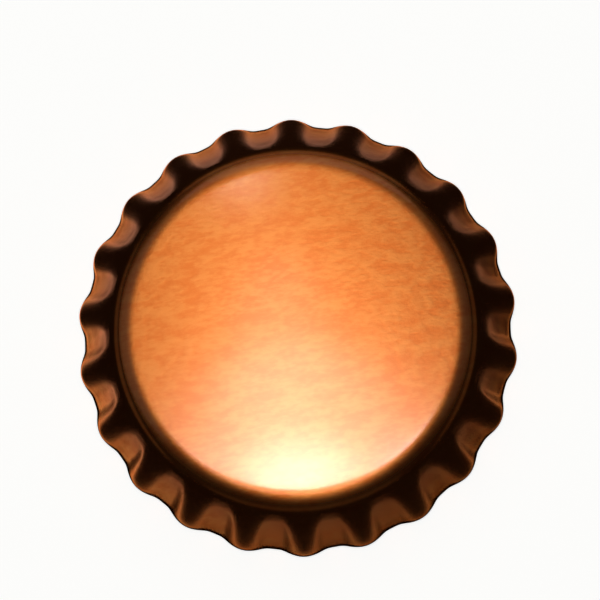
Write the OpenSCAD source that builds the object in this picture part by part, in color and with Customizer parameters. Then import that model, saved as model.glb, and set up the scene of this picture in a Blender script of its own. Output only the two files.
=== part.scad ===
// Crown cap for a bottle: a fluted shell pressed from one disc of tinplate, and the
// sealing liner moulded inside it. The cap is as it leaves the press, before it is crimped.
// Millimetres. The origin is the centre of the plane that the lip rests on, and +Z points
// up through the panel. Two opposite crests of the skirt lie on the Y axis.

/* [Shell] */
// Diameter over two opposite crests of the skirt
cap_d = 32.1; // [30.5:0.1:39]
// Height from the lowest points of the lip to the panel
cap_h = 6; // [5:0.1:7.4]
// Thickness of the sheet
sheet_t = 0.24; // [0.18:0.01:0.32]
// Inside diameter at the top of the skirt, which clears the bottle's lip
mouth_d = 26.75; // [22:0.05:27.5]
// Outer radius of the corner between the panel and the skirt
corner_r = 1.9; // [1.5:0.1:2.3]
// Slope of the cut edge, out and up from the resting plane, in degrees
lip_slope = 22; // [16:1:28]

/* [Flutes] */
// Number of flutes around the skirt
flute_count = 22; // [18:2:26]
// Depth of each flute at the lip, in from the crests' circle
flute_depth = 0.53; // [0.44:0.01:0.66]
// Width of the land left on each crest at the lip
crest_w = 0.6; // [0.5:0.01:0.9]
// How far below the panel the flutes run out
flute_start = 1.7; // [1.4:0.05:2.1]
// How far the floor of each flute bows inwards between its two ends
flute_bow = 0.16; // [0.13:0.01:0.2]

/* [Liner] */
// Gap between the edge of the liner and the mouth's cylinder
liner_gap = 0.775; // [0.6:0.025:1]
// Thickness of the membrane across the panel
membrane_t = 0.35; // [0.25:0.01:0.45]
// How far the middle of the outer sealing bead lies inside the mouth's cylinder
outer_bead_in = 1.6; // [1.3:0.05:1.95]
// Radius of the outer bead's round section
outer_bead_r = 0.8; // [0.65:0.05:1]
// How far the outer bead stands below the panel's underside
outer_bead_h = 1.2; // [1:0.05:1.45]
// Distance from the middle of the outer bead in to the middle of the inner bead
bead_spacing = 1.85; // [1.5:0.05:2.3]
// Radius of the inner bead's round section
inner_bead_r = 0.55; // [0.45:0.05:0.7]
// How far the inner bead stands below the panel's underside
inner_bead_h = 0.85; // [0.7:0.05:1.05]

/* [Hidden] */
$fn = 96;

shell_colour = [0.86, 0.45, 0.24];
liner_colour = [0.90, 0.89, 0.84];

// The forms run this far past the lip, so that the trim cuts them clean.
run_off = 1.5;

crest_r = cap_d / 2;
mouth_r = mouth_d / 2;
panel_r = mouth_r + sheet_t - corner_r;
corner_centre = [panel_r, cap_h - corner_r];

// The sheet's inner surface meets the resting plane here, on the floor of each flute.
foot = [crest_r - flute_depth - sheet_t * cos(lip_slope), 0];

// Height of the cut edge at radius r.
function lip_z(r) = tan(lip_slope) * (r - foot.x);

// The crests run straight from a tangent to the corner's arc down to the crests' circle.
crest_run = [crest_r, lip_z(crest_r)] - corner_centre;
crest_angle = atan2(crest_run.y, crest_run.x) + acos(corner_r / norm(crest_run));
crest_normal = [cos(crest_angle), sin(crest_angle)];
crest_slope = [sin(crest_angle), -cos(crest_angle)];
crest_length = sqrt(pow(norm(crest_run), 2) - pow(corner_r, 2));

// Radius of the crests' line at height z, on a surface that lies inset inside the outer one.
function crest_r_at(z, inset) =
    panel_r + (corner_r - inset - (z - corner_centre.y) * crest_normal.y) / crest_normal.x;

// The floor of each flute follows an arc that bows inwards. On the sheet's inner surface
// it runs from the foot to this point of the crests' line.
flute_top = [crest_r_at(cap_h - flute_start, sheet_t), cap_h - flute_start];
floor_chord = flute_top - foot;
inner_bend_r = (pow(norm(floor_chord) / 2, 2) + pow(flute_bow, 2)) / (2 * flute_bow);
bend_out = [floor_chord.y, -floor_chord.x] / norm(floor_chord);
bend_centre = (foot + flute_top) / 2 + (inner_bend_r - flute_bow) * bend_out;
flute_bend_r = inner_bend_r - sheet_t;

// How far the floor of the flute leans out from upright at a point of its arc, in degrees.
function floor_lean(point) = asin((bend_centre.y - point.y) / inner_bend_r);

// The radius across each flute is the one that leaves crest_w between two flutes at the lip.
land_edge_angle = 180 / flute_count - asin(crest_w / 2 / crest_r);
land_edge = crest_r * [cos(land_edge_angle), sin(land_edge_angle)];
land_edge_fall = flute_bend_r - norm(bend_centre - [land_edge.x, lip_z(crest_r)]);
flute_r = (pow(land_edge.y, 2) + pow(land_edge_fall, 2)) / (2 * land_edge_fall);

seat_z = cap_h - sheet_t;
outer_bead_at = mouth_r - outer_bead_in;
inner_bead_at = outer_bead_at - bead_spacing;

// Half section of the cap's filled outline, moved inwards by inset, before it is fluted.
module form_section(inset) {
    top = cap_h - inset;
    corner = corner_r - inset;
    tangent = corner_centre + corner * crest_normal;
    low = tangent + (crest_length + run_off + inset) * crest_slope;
    polygon([[0, low.y], low, tangent, [panel_r, top], [0, top]]);
    translate(corner_centre) circle(corner);
}

// Part of an upright ring, whose outer side presses one flute. It runs on past both ends of
// the flute. The inset makes it fatter by as much as the form shrinks, so the sheet keeps its
// thickness round the flute.
module flute_punch(inset) {
    run_on = 2 * run_off / inner_bend_r * 180 / PI;
    top_lean = floor_lean(flute_top) - run_on;
    foot_lean = floor_lean(foot) + run_on;
    translate([bend_centre.x, 0, bend_centre.y])
        rotate([90, 0, 0])
            rotate_extrude(start = 180 + top_lean, angle = foot_lean - top_lean)
                translate([flute_bend_r - flute_r, 0]) circle(flute_r + inset);
}

// The form with its flutes pressed in one after another, so that each meets only the form.
module fluted_form(inset, flutes = flute_count) {
    if (flutes == 0)
        rotate_extrude() form_section(inset);
    else
        difference() {
            fluted_form(inset, flutes - 1);
            rotate(90 + (flutes - 0.5) * 360 / flute_count) flute_punch(inset);
        }
}

// Everything under the cut edge.
module lip_trim() {
    inside = foot.x - run_off;
    outside = crest_r + 2 * run_off;
    deep = -4 * run_off;
    rotate_extrude()
        polygon([[inside, deep], [outside, deep], [outside, lip_z(outside)], [inside, lip_z(inside)]]);
}

module shell() {
    color(shell_colour)
        difference() {
            fluted_form(0);
            fluted_form(sheet_t);
            lip_trim();
        }
}

// Section of a sealing bead, round below and straight-sided above, whose lowest point lies
// height below the panel's underside. The form's section cuts off what stands above it.
module bead_section(at, radius, height) {
    centre_z = seat_z - height + radius;
    translate([at, centre_z]) circle(radius);
    translate([at - radius, centre_z]) square([2 * radius, height]);
}

module liner() {
    color(liner_colour)
        rotate_extrude()
            intersection() {
                form_section(sheet_t);
                union() {
                    translate([0, seat_z - membrane_t]) square([mouth_r - liner_gap, 2 * membrane_t]);
                    bead_section(outer_bead_at, outer_bead_r, outer_bead_h);
                    bead_section(inner_bead_at, inner_bead_r, inner_bead_h);
                }
            }
}

shell();
liner();
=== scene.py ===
"""The looks of an unused crown cap, modelled around its packed frame.

The cap is a fluted shell, drawn from a disc of copper-lacquered tinplate, with its sealing
liner moulded inside. Run as a script, the file registers itself, models both pieces and
sets the stage.
"""

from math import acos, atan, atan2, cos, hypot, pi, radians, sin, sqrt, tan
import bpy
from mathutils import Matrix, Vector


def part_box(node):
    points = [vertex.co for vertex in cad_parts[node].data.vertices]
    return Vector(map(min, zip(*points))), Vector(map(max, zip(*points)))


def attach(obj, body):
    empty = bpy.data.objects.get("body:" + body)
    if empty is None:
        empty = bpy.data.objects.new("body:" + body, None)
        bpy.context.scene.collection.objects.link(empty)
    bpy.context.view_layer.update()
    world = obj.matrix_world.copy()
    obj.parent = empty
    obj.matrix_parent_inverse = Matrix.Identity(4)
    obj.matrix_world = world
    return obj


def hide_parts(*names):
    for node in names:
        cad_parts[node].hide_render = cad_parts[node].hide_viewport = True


bl_info = {
    "name": "Crown Cap",
    "version": (1, 0, 0),
    "blender": (4, 5, 0),
    "location": "3D View > Sidebar > Crown Cap",
    "description": "Models a fluted crown cap and its sealing liner around their CAD frame",
    "category": "Add Mesh",
}

import bmesh
import bpy
from bpy.props import FloatProperty, FloatVectorProperty, IntProperty, PointerProperty
from mathutils import Quaternion, Vector

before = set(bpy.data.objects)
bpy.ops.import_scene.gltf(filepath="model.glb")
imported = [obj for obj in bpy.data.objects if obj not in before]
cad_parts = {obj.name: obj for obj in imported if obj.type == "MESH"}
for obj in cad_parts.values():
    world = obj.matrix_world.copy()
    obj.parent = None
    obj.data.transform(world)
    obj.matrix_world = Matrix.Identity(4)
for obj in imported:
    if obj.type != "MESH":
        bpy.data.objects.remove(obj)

MM = 0.001
HAIR = 1e-6  # two places closer than this, in metres, are the same place
SHARP_FROM = radians(50)  # edges that turn more than this are shaded sharp

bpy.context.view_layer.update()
SHELL_LOW, SHELL_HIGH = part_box("shell")
LINER_LOW, LINER_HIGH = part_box("liner")


def linear(hex_colour):
    """An sRGB hex colour as linear red, green and blue."""
    channels = [int(hex_colour[at:at + 2], 16) / 255 for at in (1, 3, 5)]
    return tuple(c / 12.92 if c <= 0.04045 else ((c + 0.055) / 1.055) ** 2.4 for c in channels)


def length(name, description, default):
    """A property for a length, in metres."""
    return FloatProperty(name=name, description=description, default=default, min=0,
                         precision=5, subtype="DISTANCE", unit="LENGTH")


def angle(name, description, default):
    """A property for an angle. Its default is given in degrees."""
    return FloatProperty(name=name, description=description, default=radians(default),
                         subtype="ANGLE", unit="ROTATION")


def colour(name, description, default):
    """A property for a colour. Its default is given in sRGB hex."""
    return FloatVectorProperty(name=name, description=description, default=linear(default),
                               min=0, max=1, subtype="COLOR")


def position(name, description, default):
    """A property for a place. Its default is given in millimetres."""
    return FloatVectorProperty(name=name, description=description, size=3,
                               default=[part * MM for part in default],
                               subtype="TRANSLATION", unit="LENGTH")


def portion(name, description, default):
    """A property for a share between nothing and all."""
    return FloatProperty(name=name, description=description, default=default, min=0, max=1,
                         precision=3, subtype="FACTOR")


# ---------------------------------------------------------------- sizes and colours


class ShellSizes(bpy.types.PropertyGroup):
    """Sizes of the fluted shell."""

    crest_diameter: length(
        "Crest Diameter", "Diameter over two opposite crests of the skirt",
        SHELL_HIGH.y - SHELL_LOW.y)
    height: length("Height", "Height from the lip to the panel", SHELL_HIGH.z - SHELL_LOW.z)
    sheet: length("Sheet", "Thickness of the tinplate", 0.24 * MM)
    mouth_diameter: length("Mouth Diameter", "Inside diameter at the top of the skirt", 26.75 * MM)
    corner_radius: length(
        "Corner Radius", "Outer radius of the corner between the panel and the skirt", 1.9 * MM)
    panel_crown: length(
        "Panel Crown", "How far the panel's edge falls below its middle", 0.25 * MM)
    lip_slope: angle("Lip Slope", "Slope of the cut edge, out and up from flute to crest", 22)
    foot_lean: angle("Foot Lean", "How far the sheet leans back at the foot of a flute", 31)
    flute_count: IntProperty(
        name="Flute Count", description="Number of flutes around the skirt", default=22, min=3)
    flute_depth: length("Flute Depth", "Depth of each flute at the lip", 0.475 * MM)
    flute_floor: length("Flute Floor", "Width of the flat floor of each flute", 0.75 * MM)
    flute_side: length("Flute Side", "Radius from the floor up to the wall of a flute", 1 * MM)
    flute_wall: angle("Flute Wall", "Slope of the walls of a flute, up from its floor", 24)
    crest_blend: length(
        "Crest Blend", "How widely each crest is rounded into its flutes", 0.42 * MM)
    flute_start: length("Flute Start", "How far below the panel the flutes run out", 1.7 * MM)
    flute_bow: length("Flute Bow", "How far the floor of each flute bows inwards", 0.22 * MM)
    edge_round: length("Edge Round", "Rounding of the cut edge", 0.035 * MM)


class LinerSizes(bpy.types.PropertyGroup):
    """Sizes of the sealing liner."""

    membrane: length("Membrane", "Thickness across the panel", 0.35 * MM)
    outer_bead_at: length(
        "Outer Bead Radius", "Radius of the circle that the outer bead lies on", 11.775 * MM)
    outer_bead: length("Outer Bead Section", "Radius of the outer bead's round section", 0.8 * MM)
    inner_bead_at: length(
        "Inner Bead Radius", "Radius of the circle that the inner bead lies on", 9.925 * MM)
    inner_bead: length("Inner Bead Section", "Radius of the inner bead's round section", 0.55 * MM)
    inner_bead_height: length(
        "Inner Bead Height", "How far the inner bead stands below the panel", 0.85 * MM)
    fillet: length("Fillet", "Radius where a bead runs into the membrane", 0.12 * MM)


class Finishes(bpy.types.PropertyGroup):
    """Colours of the cap's surfaces."""

    lacquer: colour("Lacquer", "Copper-toned lacquer on the outside", "#F38F46")
    lacquer_deep: colour("Deep Lacquer", "The same lacquer where it lies thicker", "#EB7B36")
    inside: colour("Inside", "Clear gold lacquer on the tinplate inside", "#DDCFAC")
    inside_deep: colour("Deep Inside", "The gold lacquer where it lies thicker", "#CDBB90")
    steel: colour("Cut Edge", "Bare steel where the shear burnished it", "#A19A91")
    steel_torn: colour("Torn Edge", "Bare steel where it tore away", "#7A736B")
    liner: colour("Liner", "Sealing compound of the liner", "#E8E5D9")
    liner_deep: colour("Deep Liner", "The same compound where it is less well mixed", "#E3E0D3")
    grain_width: length("Grain Width", "Width of one rolling mark on the sheet", 0.25 * MM)
    grain_length: length("Grain Length", "Length of one rolling mark on the sheet", 0.6 * MM)
    grain_turn: angle("Grain Direction", "Turn of the rolling direction from the X axis", 8)
    polished_from: length(
        "Polished From", "Radius from which the press polished the sheet", 12 * MM)
    polished_to: length("Polished To", "Radius at which it is fully polished", 13.2 * MM)
    tear_width: length("Tear Width", "Width of one tear across the cut edge", 0.15 * MM)
    flow_width: length("Flow Width", "Width of the faint swirls in the liner", 1.5 * MM)


class StageSizes(bpy.types.PropertyGroup):
    """The stage around the cap."""

    floor: colour("Floor", "Colour of the plain floor", "#F4F4F2")
    floor_width: length("Floor Width", "Width of the floor", 3)
    floor_glow: portion("Floor Glow", "How brightly the floor shows beside its lamplight", 0.8)
    # The card and the disc are painted shade: only the metal sees them, so it mirrors darkness
    # round the cap although the floor there is lit.
    card_width: length("Card Width", "Width of the black card round the cap", 3.2)
    card_hole: length("Card Hole", "Radius of the hole in that card", 16.6 * MM)
    card_place: position(
        "Card Place", "Where the middle of the card's hole lies", (-0.05, -0.47, 0.02))
    # The net is painted shade too: it dims the lit floor that the metal mirrors inside the card's
    # hole.
    hole_shade: portion("Card Net", "How much of the hole a black net over it covers", 0.15)
    card_cover: portion("Card Cover", "How much of the floor round the hole is covered", 0.993)
    # The disc is a painted contact shadow under the cap's lip, which the metal mirrors in place of
    # the lit floor.
    contact_shadow_radius: length("Disc Radius", "Radius of the black disc under the cap", 16.36 * MM)
    contact_shadow_place: position("Disc Place", "Where the middle of the disc lies", (0.08, -0.5, 0.01))
    card_fade: length("Card Fade", "How softly the edges of the card and disc fade out", 0.3 * MM)
    card_oval: portion("Card Oval", "Width of hole and disc as a share of their length", 0.986)
    lamp: colour("Lamp", "Colour of the warm lamps overhead", "#FFFFE9")
    room: portion("Room", "How bright the dim room round the stage is", 0.01)
    camera_aim: position("Camera Aim", "The place that the camera is aimed at", (0.27, 2.73, 0))
    camera_rise: angle("Camera Rise", "How far the camera stands above the horizon", 82.5)
    camera_turn: angle("Camera Turn", "How far the camera stands round from the front", 14)
    camera_roll: angle("Camera Roll", "How far the camera is rolled clockwise", 16)
    camera_distance: length("Camera Distance", "From the camera to what it is aimed at", 0.2445)
    lens: FloatProperty(name="Lens", description="Focal length of the camera", default=200,
                        min=1, unit="CAMERA")


# ---------------------------------------------------------------- modelling


def active_piece(name):
    """Names the object that was just added, gives it its mesh's name, and returns it."""
    piece = bpy.context.active_object
    piece.name = name
    piece.data.name = name
    return piece


def pick(passes):
    """Selects the vertices in edit mode whose place passes the test, and nothing else."""
    bpy.ops.mesh.select_mode(type="VERT")
    bpy.ops.mesh.select_all(action="DESELECT")
    cage = bmesh.from_edit_mesh(bpy.context.edit_object.data)
    for vertex in cage.verts:
        vertex.select = passes(vertex.co)
    cage.select_flush_mode()
    bmesh.update_edit_mesh(bpy.context.edit_object.data)


def resize_round_axis(scale, rise=0.0):
    """Scales what is selected towards or away from the cap's axis, and moves it up."""
    bpy.ops.transform.resize(value=(scale, scale, 1), center_override=(0, 0, 0))
    if rise:
        bpy.ops.transform.translate(value=(0, 0, rise))


def draw_profile(points):
    """Extrudes the selected loop, which lies on the first point, along the other points.

    Each point is a radius and a height.
    """
    for (radius, z), (next_radius, next_z) in zip(points, points[1:]):
        bpy.ops.mesh.extrude_region_move(TRANSFORM_OT_translate={"value": (0, 0, next_z - z)})
        resize_round_axis(next_radius / radius)


def apply_modifier(piece, kind, **settings):
    """Adds a modifier with its settings and applies it."""
    modifier = piece.modifiers.new(kind.title(), kind)
    for name, value in settings.items():
        setattr(modifier, name, value)
    bpy.ops.object.modifier_apply(modifier=modifier.name)


CREST_ALLOWANCE = 0.17  # the crests are drawn too far out by this share of their blend


def rounded_min(a, b, blend):
    """The smaller of two lengths, rounded where they come within the blend of each other."""
    near = max(blend - abs(a - b), 0) / blend
    return min(a, b) - near * near * blend / 4


class SkirtForm:
    """The outer surface of the shell, worked out from its sizes.

    Points of a section are (radius, height). Each flute is pressed by the outside of a ring
    that stands upright beside the skirt, and whose section has a flat top.
    """

    def __init__(self, sizes):
        self.sizes = sizes
        # Rounding and smoothing bring the crests in, so they are drawn a little too far out.
        self.crest_r = sizes.crest_diameter / 2 + CREST_ALLOWANCE * sizes.crest_blend
        self.pitch = 2 * pi / sizes.flute_count
        corner_r = sizes.mouth_diameter / 2 + sizes.sheet - sizes.corner_radius
        # The crowned panel falls this steeply where it runs into the corner.
        self.edge_fall = atan(2 * sizes.panel_crown / corner_r)
        self.panel_r = corner_r + sizes.corner_radius * sin(self.edge_fall)
        edge_z = sizes.height - sizes.panel_crown
        self.corner = Vector((corner_r, edge_z - sizes.corner_radius * cos(self.edge_fall)))
        self.valley_r = sizes.crest_diameter / 2 - sizes.flute_depth
        self.foot = Vector((self.valley_r - sizes.sheet * cos(sizes.foot_lean), 0))
        run = Vector((self.crest_r, self.lip_z(self.crest_r))) - self.corner
        self.crest_rise = atan2(run.y, run.x) + acos(sizes.corner_radius / run.length)
        self.tangent = self.corner + sizes.corner_radius * Vector((
            cos(self.crest_rise), sin(self.crest_rise)))
        top_z = sizes.height - sizes.flute_start
        top = Vector((self.crest_line(top_z, sizes.sheet), top_z))
        chord = top - self.foot
        inner_bend = (chord.length_squared / 4 + sizes.flute_bow ** 2) / (2 * sizes.flute_bow)
        outwards = Vector((chord.y, -chord.x)).normalized()
        self.bend = (self.foot + top) / 2 + (inner_bend - sizes.flute_bow) * outwards
        self.bend_r = inner_bend - sizes.sheet

    def lip_z(self, radius):
        """Height of the outer side of the cut edge."""
        sizes = self.sizes
        return sizes.sheet * sin(sizes.foot_lean) + tan(sizes.lip_slope) * (radius - self.valley_r)

    def crest_line(self, z, inset=0.0):
        """Radius of the crests at a height."""
        reach = self.sizes.corner_radius - inset - (z - self.corner.y) * sin(self.crest_rise)
        return self.corner.x + reach / cos(self.crest_rise)

    def press_fall(self, across):
        """How far the pressing ring falls back from its top, at a distance off its middle."""
        sizes = self.sizes
        beyond = max(abs(across) - sizes.flute_floor / 2, 0)
        round_width = sizes.flute_side * sin(sizes.flute_wall)
        if beyond < round_width:
            return sizes.flute_side - sqrt(sizes.flute_side ** 2 - beyond ** 2)
        round_fall = sizes.flute_side * (1 - cos(sizes.flute_wall))
        return round_fall + (beyond - round_width) * tan(sizes.flute_wall)

    def flute_line(self, z, off_middle):
        """Radius of the pressing ring's surface at a height, turned off the flute's middle."""
        radius = self.crest_line(z)
        for _ in range(4):  # the answer settles in a few rounds
            across = radius * sin(off_middle)
            reach = self.bend_r - self.press_fall(across)
            along = self.bend.x - sqrt(reach ** 2 - (z - self.bend.y) ** 2)
            radius = hypot(across, along)
        return radius

    def radius(self, z, off_middle):
        """Radius of the fluted skirt."""
        return rounded_min(self.crest_line(z), self.flute_line(z, off_middle),
                           self.sizes.crest_blend)

    def inner_z(self, radius):
        """Height of the sheet's inner surface over the mouth."""
        sizes = self.sizes
        if radius <= self.panel_r:
            return sizes.height - sizes.sheet - sizes.panel_crown * (radius / self.panel_r) ** 2
        inner = sizes.corner_radius - sizes.sheet
        return self.corner.y + sqrt(inner ** 2 - (radius - self.corner.x) ** 2)

    def panel_section(self, steps):
        """Points from near the middle of the panel to its edge, over its slight crown."""
        crown = self.sizes.panel_crown
        shares = [(step + 0.5) / (steps + 0.5) for step in range(steps)] + [PANEL_EDGE, 1]
        return [(share * self.panel_r, self.sizes.height - crown * share ** 2) for share in shares]

    def corner_section(self, steps):
        """Points round the corner, from past the panel's edge to the top of the crests."""
        start = pi / 2 - self.edge_fall
        swing = start - self.crest_rise
        rises = [start - swing * (step + 1) / steps for step in range(steps)]
        points = [self.corner + self.sizes.corner_radius * Vector((cos(a), sin(a))) for a in rises]
        return [tuple(point) for point in points]

    def skirt_section(self, steps):
        """Points down the crests to the lip."""
        lip = Vector((self.crest_r, self.lip_z(self.crest_r)))
        return [tuple(self.tangent.lerp(lip, (step + 1) / steps)) for step in range(steps)]


PANEL_RINGS = 7
PANEL_EDGE = 0.965  # one more ring, at this share, keeps the crown even up to the corner
CORNER_RINGS = 6
SKIRT_RINGS = 12
PITCH_STEPS = 16  # columns of the mesh from one crest to the next
OUTSIDE, INSIDE, CUT_EDGE = range(3)  # the shell's material slots


def press_flutes(form, section):
    """Presses the flutes into a plain skirt, ring by ring and column by column.

    A column is picked by its place round its crest.
    """
    step_turn = form.pitch / PITCH_STEPS

    def steps_off_crest(place):
        """How many columns a place lies off the nearest crest. One crest is on +Y."""
        column = round(atan2(place.x, place.y) / step_turn) % PITCH_STEPS
        return min(column, PITCH_STEPS - column)

    lip_z = section[-1][1]
    for radius, z in section:
        for step in range(PITCH_STEPS // 2 + 1):
            off_middle = form.pitch / 2 - step * step_turn
            pressed = form.radius(z, off_middle)
            fall = 0
            if z == lip_z:
                edge_z = form.lip_z(pressed)
                pressed = form.radius(edge_z, off_middle)
                fall = form.lip_z(pressed) - lip_z
            pick(lambda place: abs(place.z - z) < HAIR and steps_off_crest(place) == step)
            resize_round_axis(pressed / radius, fall)


def model_shell(sizes):
    """The fluted shell: drawn from a disc, pressed, given its thickness and its cut edge."""
    form = SkirtForm(sizes)
    panel = form.panel_section(PANEL_RINGS)
    corner = form.corner_section(CORNER_RINGS)
    skirt = form.skirt_section(SKIRT_RINGS)
    first_radius, first_z = panel[0]
    bpy.ops.mesh.primitive_circle_add(
        vertices=sizes.flute_count * PITCH_STEPS, radius=first_radius, fill_type="NOTHING")
    piece = active_piece("fluted_shell")
    bpy.ops.object.mode_set(mode="EDIT")
    bpy.ops.transform.translate(value=(0, 0, first_z))
    draw_profile(panel + corner + skirt)
    press_flutes(form, skirt)
    bpy.ops.object.mode_set(mode="OBJECT")
    apply_modifier(piece, "SUBSURF", levels=1, render_levels=1)
    bpy.ops.object.mode_set(mode="EDIT")
    pick(lambda place: place.xy.length < first_radius * 1.01)
    close_pole()
    for _ in (OUTSIDE, INSIDE, CUT_EDGE):
        bpy.ops.object.material_slot_add()
    apply_modifier(piece, "SOLIDIFY", thickness=sizes.sheet, offset=-1, use_even_offset=True,
                   material_offset=INSIDE, material_offset_rim=CUT_EDGE)
    round_cut_edge(piece, sizes.edge_round)
    bpy.ops.object.shade_smooth_by_angle(angle=SHARP_FROM)
    return piece


def close_pole():
    """Closes the selected loop on the axis, turns every face outwards and leaves edit mode."""
    bpy.ops.mesh.extrude_region_move()
    bpy.ops.mesh.merge(type="CENTER")
    bpy.ops.mesh.select_all(action="SELECT")
    bpy.ops.mesh.remove_doubles(threshold=HAIR)
    bpy.ops.mesh.normals_make_consistent(inside=False)
    bpy.ops.object.mode_set(mode="OBJECT")


def round_cut_edge(piece, size):
    """Bevels both sides of the rim, which has the piece's last material."""
    bpy.ops.object.mode_set(mode="EDIT")
    bpy.ops.mesh.select_mode(type="FACE")
    bpy.ops.mesh.select_all(action="DESELECT")
    piece.active_material_index = CUT_EDGE
    bpy.ops.object.material_slot_select()
    bpy.ops.mesh.region_to_loop()
    bpy.ops.mesh.bevel(offset=size, segments=2, affect="EDGES")
    bpy.ops.object.mode_set(mode="OBJECT")


NEAR_AXIS = 0.03  # the liner's first and last ring, as a share of the panel's radius
LINER_STEPS = 160  # columns of the liner's mesh round the axis


def arc(centre, radius, start, end, steps):
    """Points along an arc of a section, from one angle to another, in degrees."""
    turns = [radians(start + (end - start) * step / steps) for step in range(steps + 1)]
    return [(centre[0] + radius * cos(a), centre[1] + radius * sin(a)) for a in turns]


def liner_section(sizes, form):
    """Half section of the liner, from the middle of its top round its edge to its underside.

    The top follows the shell's inner surface, and the outer bead's outer side runs up to it.
    """
    under = LINER_HIGH.z - sizes.membrane
    outer_z = LINER_LOW.z + sizes.outer_bead
    outer_side = arc((sizes.outer_bead_at, outer_z), sizes.outer_bead, 0, -90, 12)
    outer_side = [(radius, z) for radius, z in outer_side if z < form.inner_z(radius) - HAIR]
    edge = outer_side[0][0]
    radii = [share * form.panel_r for share in (NEAR_AXIS, 0.5, 0.8, 1)]
    radii += [0.4 * form.panel_r + 0.6 * edge, edge]
    points = [(radius, form.inner_z(radius)) for radius in radii] + outer_side
    points += arc((sizes.outer_bead_at, outer_z), sizes.outer_bead, -90, -180, 8)[1:-1]
    points += bead_foot(sizes.outer_bead_at, sizes.outer_bead, outer_z, under, sizes.fillet)
    inner_z = LINER_HIGH.z - sizes.inner_bead_height + sizes.inner_bead
    foot = bead_foot(sizes.inner_bead_at, sizes.inner_bead, inner_z, under, sizes.fillet)
    points += [(2 * sizes.inner_bead_at - radius, z) for radius, z in reversed(foot)]
    points += arc((sizes.inner_bead_at, inner_z), sizes.inner_bead, 0, -180, 16)[1:-1]
    points += foot
    points += [(share * form.panel_r, under) for share in (0.6, 0.3, NEAR_AXIS)]
    return points


def bead_foot(at, radius, centre_z, under, fillet):
    """The inner side of a bead from where it stands upright, with the fillet at its foot."""
    side = at - radius
    return [(side, centre_z)] + arc((side - fillet, under - fillet), fillet, 0, 90, 4)


def model_liner(sizes, form):
    """The sealing liner: its section drawn round the axis, with both poles closed."""
    section = liner_section(sizes, form)
    first_radius, first_z = section[0]
    bpy.ops.mesh.primitive_circle_add(
        vertices=LINER_STEPS, radius=first_radius, fill_type="TRIFAN")
    piece = active_piece("sealing_liner")
    bpy.ops.object.mode_set(mode="EDIT")
    bpy.ops.transform.translate(value=(0, 0, first_z))
    pick(lambda place: place.xy.length > first_radius / 2)
    draw_profile(section)
    close_pole()
    bpy.ops.object.material_slot_add()
    bpy.ops.object.shade_smooth_by_angle(angle=SHARP_FROM)
    return piece


# ---------------------------------------------------------------- materials


def new_material(name):
    """An empty node material, with its tree and its Principled shader."""
    material = bpy.data.materials.new(name)
    material.use_nodes = True
    return material, material.node_tree, material.node_tree.nodes["Principled BSDF"]


def add_node(tree, kind, inputs=None, **settings):
    """Adds a node with its settings. An input is given a value, or the output that feeds it."""
    node = tree.nodes.new("ShaderNode" + kind)
    for name, value in settings.items():
        setattr(node, name, value)
    for name, value in (inputs or {}).items():
        if isinstance(value, bpy.types.NodeSocket):
            tree.links.new(value, node.inputs[name])
        else:
            node.inputs[name].default_value = value
    return node


def opaque(rgb):
    """A colour with its alpha."""
    return (*rgb, 1)


def scattered_marks(tree, size, turned=0.0, detail=2):
    """A random pattern over a piece, whose marks have this size along X, Y and Z."""
    across = add_node(tree, "Mapping", {
        "Vector": add_node(tree, "TexCoord").outputs["Object"],
        "Rotation": (0, 0, turned), "Scale": size}, vector_type="TEXTURE")
    marks = add_node(tree, "TexNoise", {
        "Vector": across.outputs["Vector"], "Scale": 1, "Detail": detail})
    return marks.outputs["Fac"]


def colour_by_marks(tree, shader, marks, low, high, deep, light):
    """Colours a finish from deep to light while its marks go from low to high."""
    amount = add_node(tree, "MapRange", {
        "Value": marks, "From Min": low, "From Max": high}, interpolation_type="SMOOTHSTEP")
    shade = add_node(tree, "Mix", {
        "Factor": amount.outputs["Result"], "A": opaque(deep), "B": opaque(light)},
        data_type="RGBA")
    tree.links.new(shade.outputs[2], shader.inputs["Base Color"])


def rolling_mark(looks):
    """Size of one rolling mark along X, Y and Z.

    The real marks are a tenth as wide. They are drawn as coarse as it takes to see them.
    """
    return looks.grain_length, looks.grain_width, looks.grain_width


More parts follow.
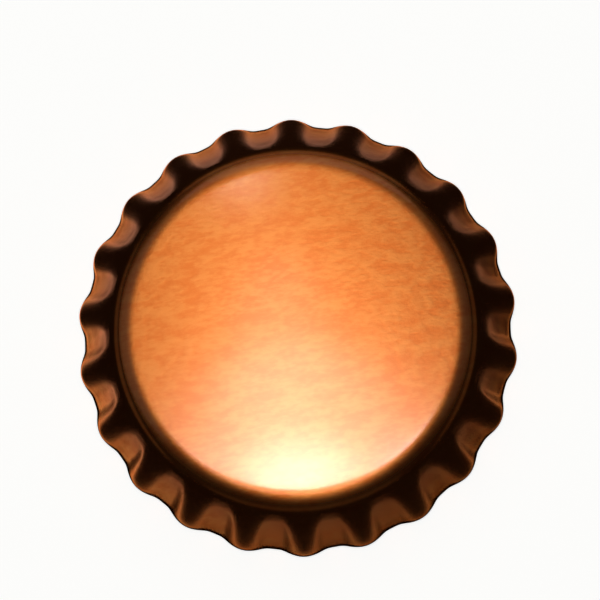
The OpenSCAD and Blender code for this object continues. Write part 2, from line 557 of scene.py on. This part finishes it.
def copper_lacquered_tinplate(looks):
    """Rolled tinplate under a transparent copper-toned lacquer, baked on before drawing."""
    # The eye sees a satin copper panel with short streaks along the rolling direction, under
    # a glossy coat, and a skirt that the press has polished to a smoother, darker mirror.
    material, tree, shader = new_material("copper_lacquered_tinplate")
    grain = scattered_marks(tree, rolling_mark(looks), looks.grain_turn)
    patch = [part * 10 / 3 for part in rolling_mark(looks)]
    patches = scattered_marks(tree, patch, looks.grain_turn, detail=1)
    depth = add_node(tree, "Math", {0: grain, 1: patches}, operation="ADD").outputs[0]
    colour_by_marks(tree, shader, depth, 0.7, 1.3, looks.lacquer_deep, looks.lacquer)
    across = add_node(tree, "VectorMath", {
        0: add_node(tree, "NewGeometry").outputs["Normal"],
        1: (cos(looks.grain_turn), sin(looks.grain_turn), 0)}, operation="CROSS_PRODUCT")
    tree.links.new(across.outputs[0], shader.inputs["Tangent"])
    level = add_node(tree, "VectorMath", {
        0: add_node(tree, "TexCoord").outputs["Object"], 1: (1, 1, 0)}, operation="MULTIPLY")
    off_axis = add_node(tree, "VectorMath", {0: level.outputs["Vector"]}, operation="LENGTH")
    bump = add_node(tree, "Bump", {"Height": grain, "Distance": 0.008 * MM})
    for socket, panel, skirt in (
            (shader.inputs["Roughness"], 0.36, 0.2),
            (shader.inputs["Coat Weight"], 1, 0),
            (bump.inputs["Strength"], 1, 0.2)):
        drawn = add_node(tree, "MapRange", {
            "Value": off_axis.outputs["Value"], "To Min": panel, "To Max": skirt,
            "From Min": looks.polished_from, "From Max": looks.polished_to},
            interpolation_type="SMOOTHSTEP")
        tree.links.new(drawn.outputs["Result"], socket)
    tree.links.new(bump.outputs["Normal"], shader.inputs["Normal"])
    shader.inputs["Metallic"].default_value = 1
    shader.inputs["Specular Tint"].default_value = (1, 0.8, 0.7, 1)
    shader.inputs["Anisotropic"].default_value = 0.6
    shader.inputs["Coat Roughness"].default_value = 0.12
    return material


def gold_lacquered_tinplate(looks):
    """Rolled tinplate under a clear, faintly gold can lacquer."""
    # The eye sees a pale, warm satin metal with the same rolling streaks as the outside.
    material, tree, shader = new_material("gold_lacquered_tinplate")
    grain = scattered_marks(tree, rolling_mark(looks), looks.grain_turn)
    colour_by_marks(tree, shader, grain, 0.35, 0.65, looks.inside_deep, looks.inside)
    bump = add_node(tree, "Bump", {"Height": grain, "Distance": 0.004 * MM, "Strength": 0.5})
    tree.links.new(bump.outputs["Normal"], shader.inputs["Normal"])
    shader.inputs["Metallic"].default_value = 1
    shader.inputs["Roughness"].default_value = 0.32
    return material


def sheared_steel(looks):
    """The bare edge of the sheet where it was cut from its strip."""
    # The eye sees a thin grey line that glints where it is burnished and is dull where it tore.
    material, tree, shader = new_material("sheared_steel")
    tears = scattered_marks(tree, (looks.tear_width,) * 3)
    colour_by_marks(tree, shader, tears, 0.4, 0.6, looks.steel_torn, looks.steel)
    dullness = add_node(tree, "MapRange", {"Value": tears, "To Min": 0.6, "To Max": 0.3})
    tree.links.new(dullness.outputs["Result"], shader.inputs["Roughness"])
    shader.inputs["Metallic"].default_value = 1
    return material


def moulded_liner_compound(looks):
    """Soft polymer sealing compound, moulded hot against a polished punch."""
    # The eye sees a smooth off-white rubbery plastic, with faint swirls and a soft sheen.
    material, tree, shader = new_material("moulded_liner_compound")
    flow = scattered_marks(tree, (looks.flow_width,) * 3)
    colour_by_marks(tree, shader, flow, 0.35, 0.65, looks.liner_deep, looks.liner)
    sheen = add_node(tree, "MapRange", {"Value": flow, "To Min": 0.38, "To Max": 0.5})
    tree.links.new(sheen.outputs["Result"], shader.inputs["Roughness"])
    bump = add_node(tree, "Bump", {"Height": flow, "Distance": 0.01 * MM, "Strength": 0.5})
    tree.links.new(bump.outputs["Normal"], shader.inputs["Normal"])
    return material


# ---------------------------------------------------------------- operators


def seat_piece(piece, node):
    """Makes a piece ride on the cap's body in place of its CAD node."""
    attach(piece, "root")
    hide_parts(node)


class CROWN_CAP_OT_shell(bpy.types.Operator):
    """Model the fluted shell and give it its lacquered finish"""

    bl_idname = "crown_cap.shell"
    bl_label = "Fluted Shell"

    def execute(self, context):
        bpy.ops.object.select_all(action="DESELECT")
        piece = model_shell(context.scene.crown_cap_shell)
        looks = context.scene.crown_cap_finishes
        piece.material_slots[OUTSIDE].material = copper_lacquered_tinplate(looks)
        piece.material_slots[INSIDE].material = gold_lacquered_tinplate(looks)
        piece.material_slots[CUT_EDGE].material = sheared_steel(looks)
        seat_piece(piece, "shell")
        return {"FINISHED"}


class CROWN_CAP_OT_liner(bpy.types.Operator):
    """Model the moulded sealing liner inside the shell"""

    bl_idname = "crown_cap.liner"
    bl_label = "Sealing Liner"

    def execute(self, context):
        bpy.ops.object.select_all(action="DESELECT")
        form = SkirtForm(context.scene.crown_cap_shell)
        piece = model_liner(context.scene.crown_cap_liner, form)
        piece.material_slots[0].material = moulded_liner_compound(context.scene.crown_cap_finishes)
        seat_piece(piece, "liner")
        return {"FINISHED"}


class CROWN_CAP_OT_stage(bpy.types.Operator):
    """Set the floor, the black cards of painted shade that only the metal mirrors, the lamps, the
    world and the camera
    """

    bl_idname = "crown_cap.stage"
    bl_label = "Stage"

    def execute(self, context):
        bpy.ops.object.select_all(action="DESELECT")
        stage = context.scene.crown_cap_stage
        lay_floor(stage)
        # Both cards are painted shade for the metal: the card darkens what it mirrors round the
        # cap, and the disc is a painted contact shadow under the lip.
        lay_painted_shade("card", stage, stage.card_width / 2, stage.card_place, stage.card_hole,
                       inside=stage.hole_shade, outside=stage.card_cover)
        lay_painted_shade("disc", stage, stage.contact_shadow_radius + stage.card_fade, stage.contact_shadow_place,
                       stage.contact_shadow_radius, inside=1, outside=0)
        light_stage(stage.lamp)
        context.scene.world = dim_room(stage.room)
        aim_camera(context.scene, stage)
        context.scene.view_settings.view_transform = "Standard"
        return {"FINISHED"}


def lay_floor(stage):
    """A pale floor, which the camera and the metal see as white outside the cap's shadow."""
    bpy.ops.mesh.primitive_plane_add(size=stage.floor_width)
    floor = active_piece("floor")
    material, tree, shader = new_material("plain_floor")
    shader.inputs["Base Color"].default_value = opaque(stage.floor)
    shader.inputs["Roughness"].default_value = 0.9
    shader.inputs["Specular IOR Level"].default_value = 0
    ray = add_node(tree, "LightPath").outputs
    seen = add_node(tree, "Math", {
        0: ray["Is Camera Ray"], 1: ray["Is Glossy Ray"]}, operation="MAXIMUM")
    seen = add_node(tree, "Math", {
        0: seen.outputs[0], 1: ray["Is Transmission Ray"]}, operation="MAXIMUM")
    glow = add_node(tree, "Math", {
        0: seen.outputs[0], 1: stage.floor_glow}, operation="MULTIPLY")
    tree.links.new(glow.outputs[0], shader.inputs["Emission Strength"])
    floor.data.materials.append(material)


def lay_painted_shade(name, stage, radius, place, edge, inside, outside):
    """A round black card of painted shade, which only the metal sees, so that it mirrors darkness
    where the floor is lit.

    It covers one share of the floor inside its soft edge and another outside it.
    """
    bpy.ops.mesh.primitive_circle_add(vertices=96, radius=radius, fill_type="NGON", location=place)
    card = active_piece(name)
    material, tree, shader = new_material("black_" + name)
    shader.inputs["Base Color"].default_value = opaque(linear("#0D0D0D"))
    shader.inputs["Roughness"].default_value = 1
    shader.inputs["Specular IOR Level"].default_value = 0
    spot = add_node(tree, "VectorMath", {
        0: add_node(tree, "TexCoord").outputs["Object"], 1: (1, stage.card_oval, 1)},
        operation="MULTIPLY")
    off_middle = add_node(tree, "VectorMath", {0: spot.outputs[0]}, operation="LENGTH")
    cover = add_node(tree, "MapRange", {
        "Value": off_middle.outputs["Value"], "To Min": inside, "To Max": outside,
        "From Min": edge - stage.card_fade / 2, "From Max": edge + stage.card_fade / 2},
        interpolation_type="SMOOTHSTEP")
    tree.links.new(cover.outputs["Result"], shader.inputs["Alpha"])
    card.data.materials.append(material)
    # Hidden from the camera, from diffuse light and from shadows, the card shows only in the
    # metal, as painted shade.
    card.visible_camera = card.visible_diffuse = card.visible_shadow = False
    card.visible_transmission = card.visible_volume_scatter = False


def direction(rise, turn):
    """The unit vector at an angle above the horizon, turned round from the front."""
    return Vector((sin(turn) * cos(rise), -cos(turn) * cos(rise), sin(rise)))


def add_soft_box(name, across, back, width, depth, brightness, tint=(1, 1, 1)):
    """An oval lamp one metre from the cap, which faces it.

    It hangs overhead, this many degrees to the right and to the back. A brightness of 1 looks
    white where it is mirrored.
    """
    towards = direction(radians(90 - hypot(across, back)), atan2(across, -back))
    bpy.ops.object.light_add(type="AREA", location=towards)
    lamp = bpy.context.active_object
    lamp.name = name
    lamp.data.shape = "ELLIPSE"
    lamp.data.size = width
    lamp.data.size_y = depth
    lamp.data.energy = brightness * pi * pi * width * depth / 4
    lamp.data.color = tint
    lamp.rotation_euler = Vector((0, 0, 1)).rotation_difference(towards).to_euler()


def light_stage(warm):
    """Lamps and soft veils overhead, boxes at the back and both sides, and four dim walls."""
    add_soft_box("overhead_lamp", -1.8, -1, 0.1, 0.06, 26, warm)
    add_soft_box("overhead_right", 4, -1, 0.1, 0.07, 10.7)
    add_soft_box("overhead_left", -6.2, -1, 0.1, 0.07, 4.6)
    add_soft_box("oval_veil", -2, 2.5, 0.16, 0.12, 4.4, warm)
    add_soft_box("long_veil", -2.7, 5.6, 0.08, 0.17, 2.7, warm)
    add_soft_box("front_veil", -2, -4, 0.34, 0.34, 1.2)
    add_soft_box("small_window", -4.3, 14.4, 0.04, 0.02, 18, warm)
    add_soft_box("back_box", 0, 45, 1, 0.6, 0.3)
    add_soft_box("left_box", -38, 7, 0.8, 0.8, 0.13)
    add_soft_box("right_box", 38, 7, 0.8, 0.8, 0.06)
    add_soft_box("back_wall", 0, 79, 1.5, 0.35, 0.14)
    add_soft_box("left_wall", -79, 0, 0.35, 1.5, 0.05)
    add_soft_box("right_wall", 79, 0, 0.35, 1.5, 0.04)
    add_soft_box("front_wall", 0, -79, 1.5, 0.35, 0.03)


def dim_room(brightness):
    """A world that lights the cap as a dim room, and that the camera sees as white."""
    world = bpy.data.worlds.new("dim_room")
    world.use_nodes = True
    tree = world.node_tree
    shade = add_node(tree, "Mix", {
        "Factor": add_node(tree, "LightPath").outputs["Is Camera Ray"],
        "A": opaque((brightness,) * 3), "B": opaque((1,) * 3)}, data_type="RGBA")
    tree.links.new(shade.outputs[2], tree.nodes["Background"].inputs["Color"])
    return world


def aim_camera(scene, stage):
    """Looks down on the cap, a little from its front, with the cap just below the middle."""
    back = direction(stage.camera_rise, stage.camera_turn)
    bpy.ops.object.camera_add(
        location=Vector(stage.camera_aim) + stage.camera_distance * back)
    camera = bpy.context.active_object
    facing = back.to_track_quat("Z", "Y") @ Quaternion((0, 0, 1), -stage.camera_roll)
    camera.rotation_euler = facing.to_euler()
    camera.data.lens = stage.lens
    camera.data.clip_start = 10 * MM
    scene.camera = camera


class CROWN_CAP_PT_panel(bpy.types.Panel):
    """Lists the cap's operators and sizes"""

    bl_idname = "CROWN_CAP_PT_panel"
    bl_label = "Crown Cap"
    bl_space_type = "VIEW_3D"
    bl_region_type = "UI"
    bl_category = "Crown Cap"

    def draw(self, context):
        for operator in OPERATORS:
            self.layout.operator(operator.bl_idname)
        for name, group in GROUPS.items():
            box = self.layout.box()
            box.label(text=group.__doc__)
            for key in group.__annotations__:
                box.prop(getattr(context.scene, name), key)


GROUPS = {
    "crown_cap_shell": ShellSizes,
    "crown_cap_liner": LinerSizes,
    "crown_cap_finishes": Finishes,
    "crown_cap_stage": StageSizes,
}
OPERATORS = (CROWN_CAP_OT_shell, CROWN_CAP_OT_liner, CROWN_CAP_OT_stage)


def register():
    for group in GROUPS.values():
        bpy.utils.register_class(group)
    for name, group in GROUPS.items():
        setattr(bpy.types.Scene, name, PointerProperty(type=group))
    for kind in (*OPERATORS, CROWN_CAP_PT_panel):
        bpy.utils.register_class(kind)


def unregister():
    for kind in (CROWN_CAP_PT_panel, *reversed(OPERATORS)):
        bpy.utils.unregister_class(kind)
    for name in GROUPS:
        delattr(bpy.types.Scene, name)
    for group in reversed(GROUPS.values()):
        bpy.utils.unregister_class(group)


def main():
    register()
    bpy.ops.crown_cap.shell()
    bpy.ops.crown_cap.liner()
    bpy.ops.crown_cap.stage()


if __name__ == "__main__":
    main()
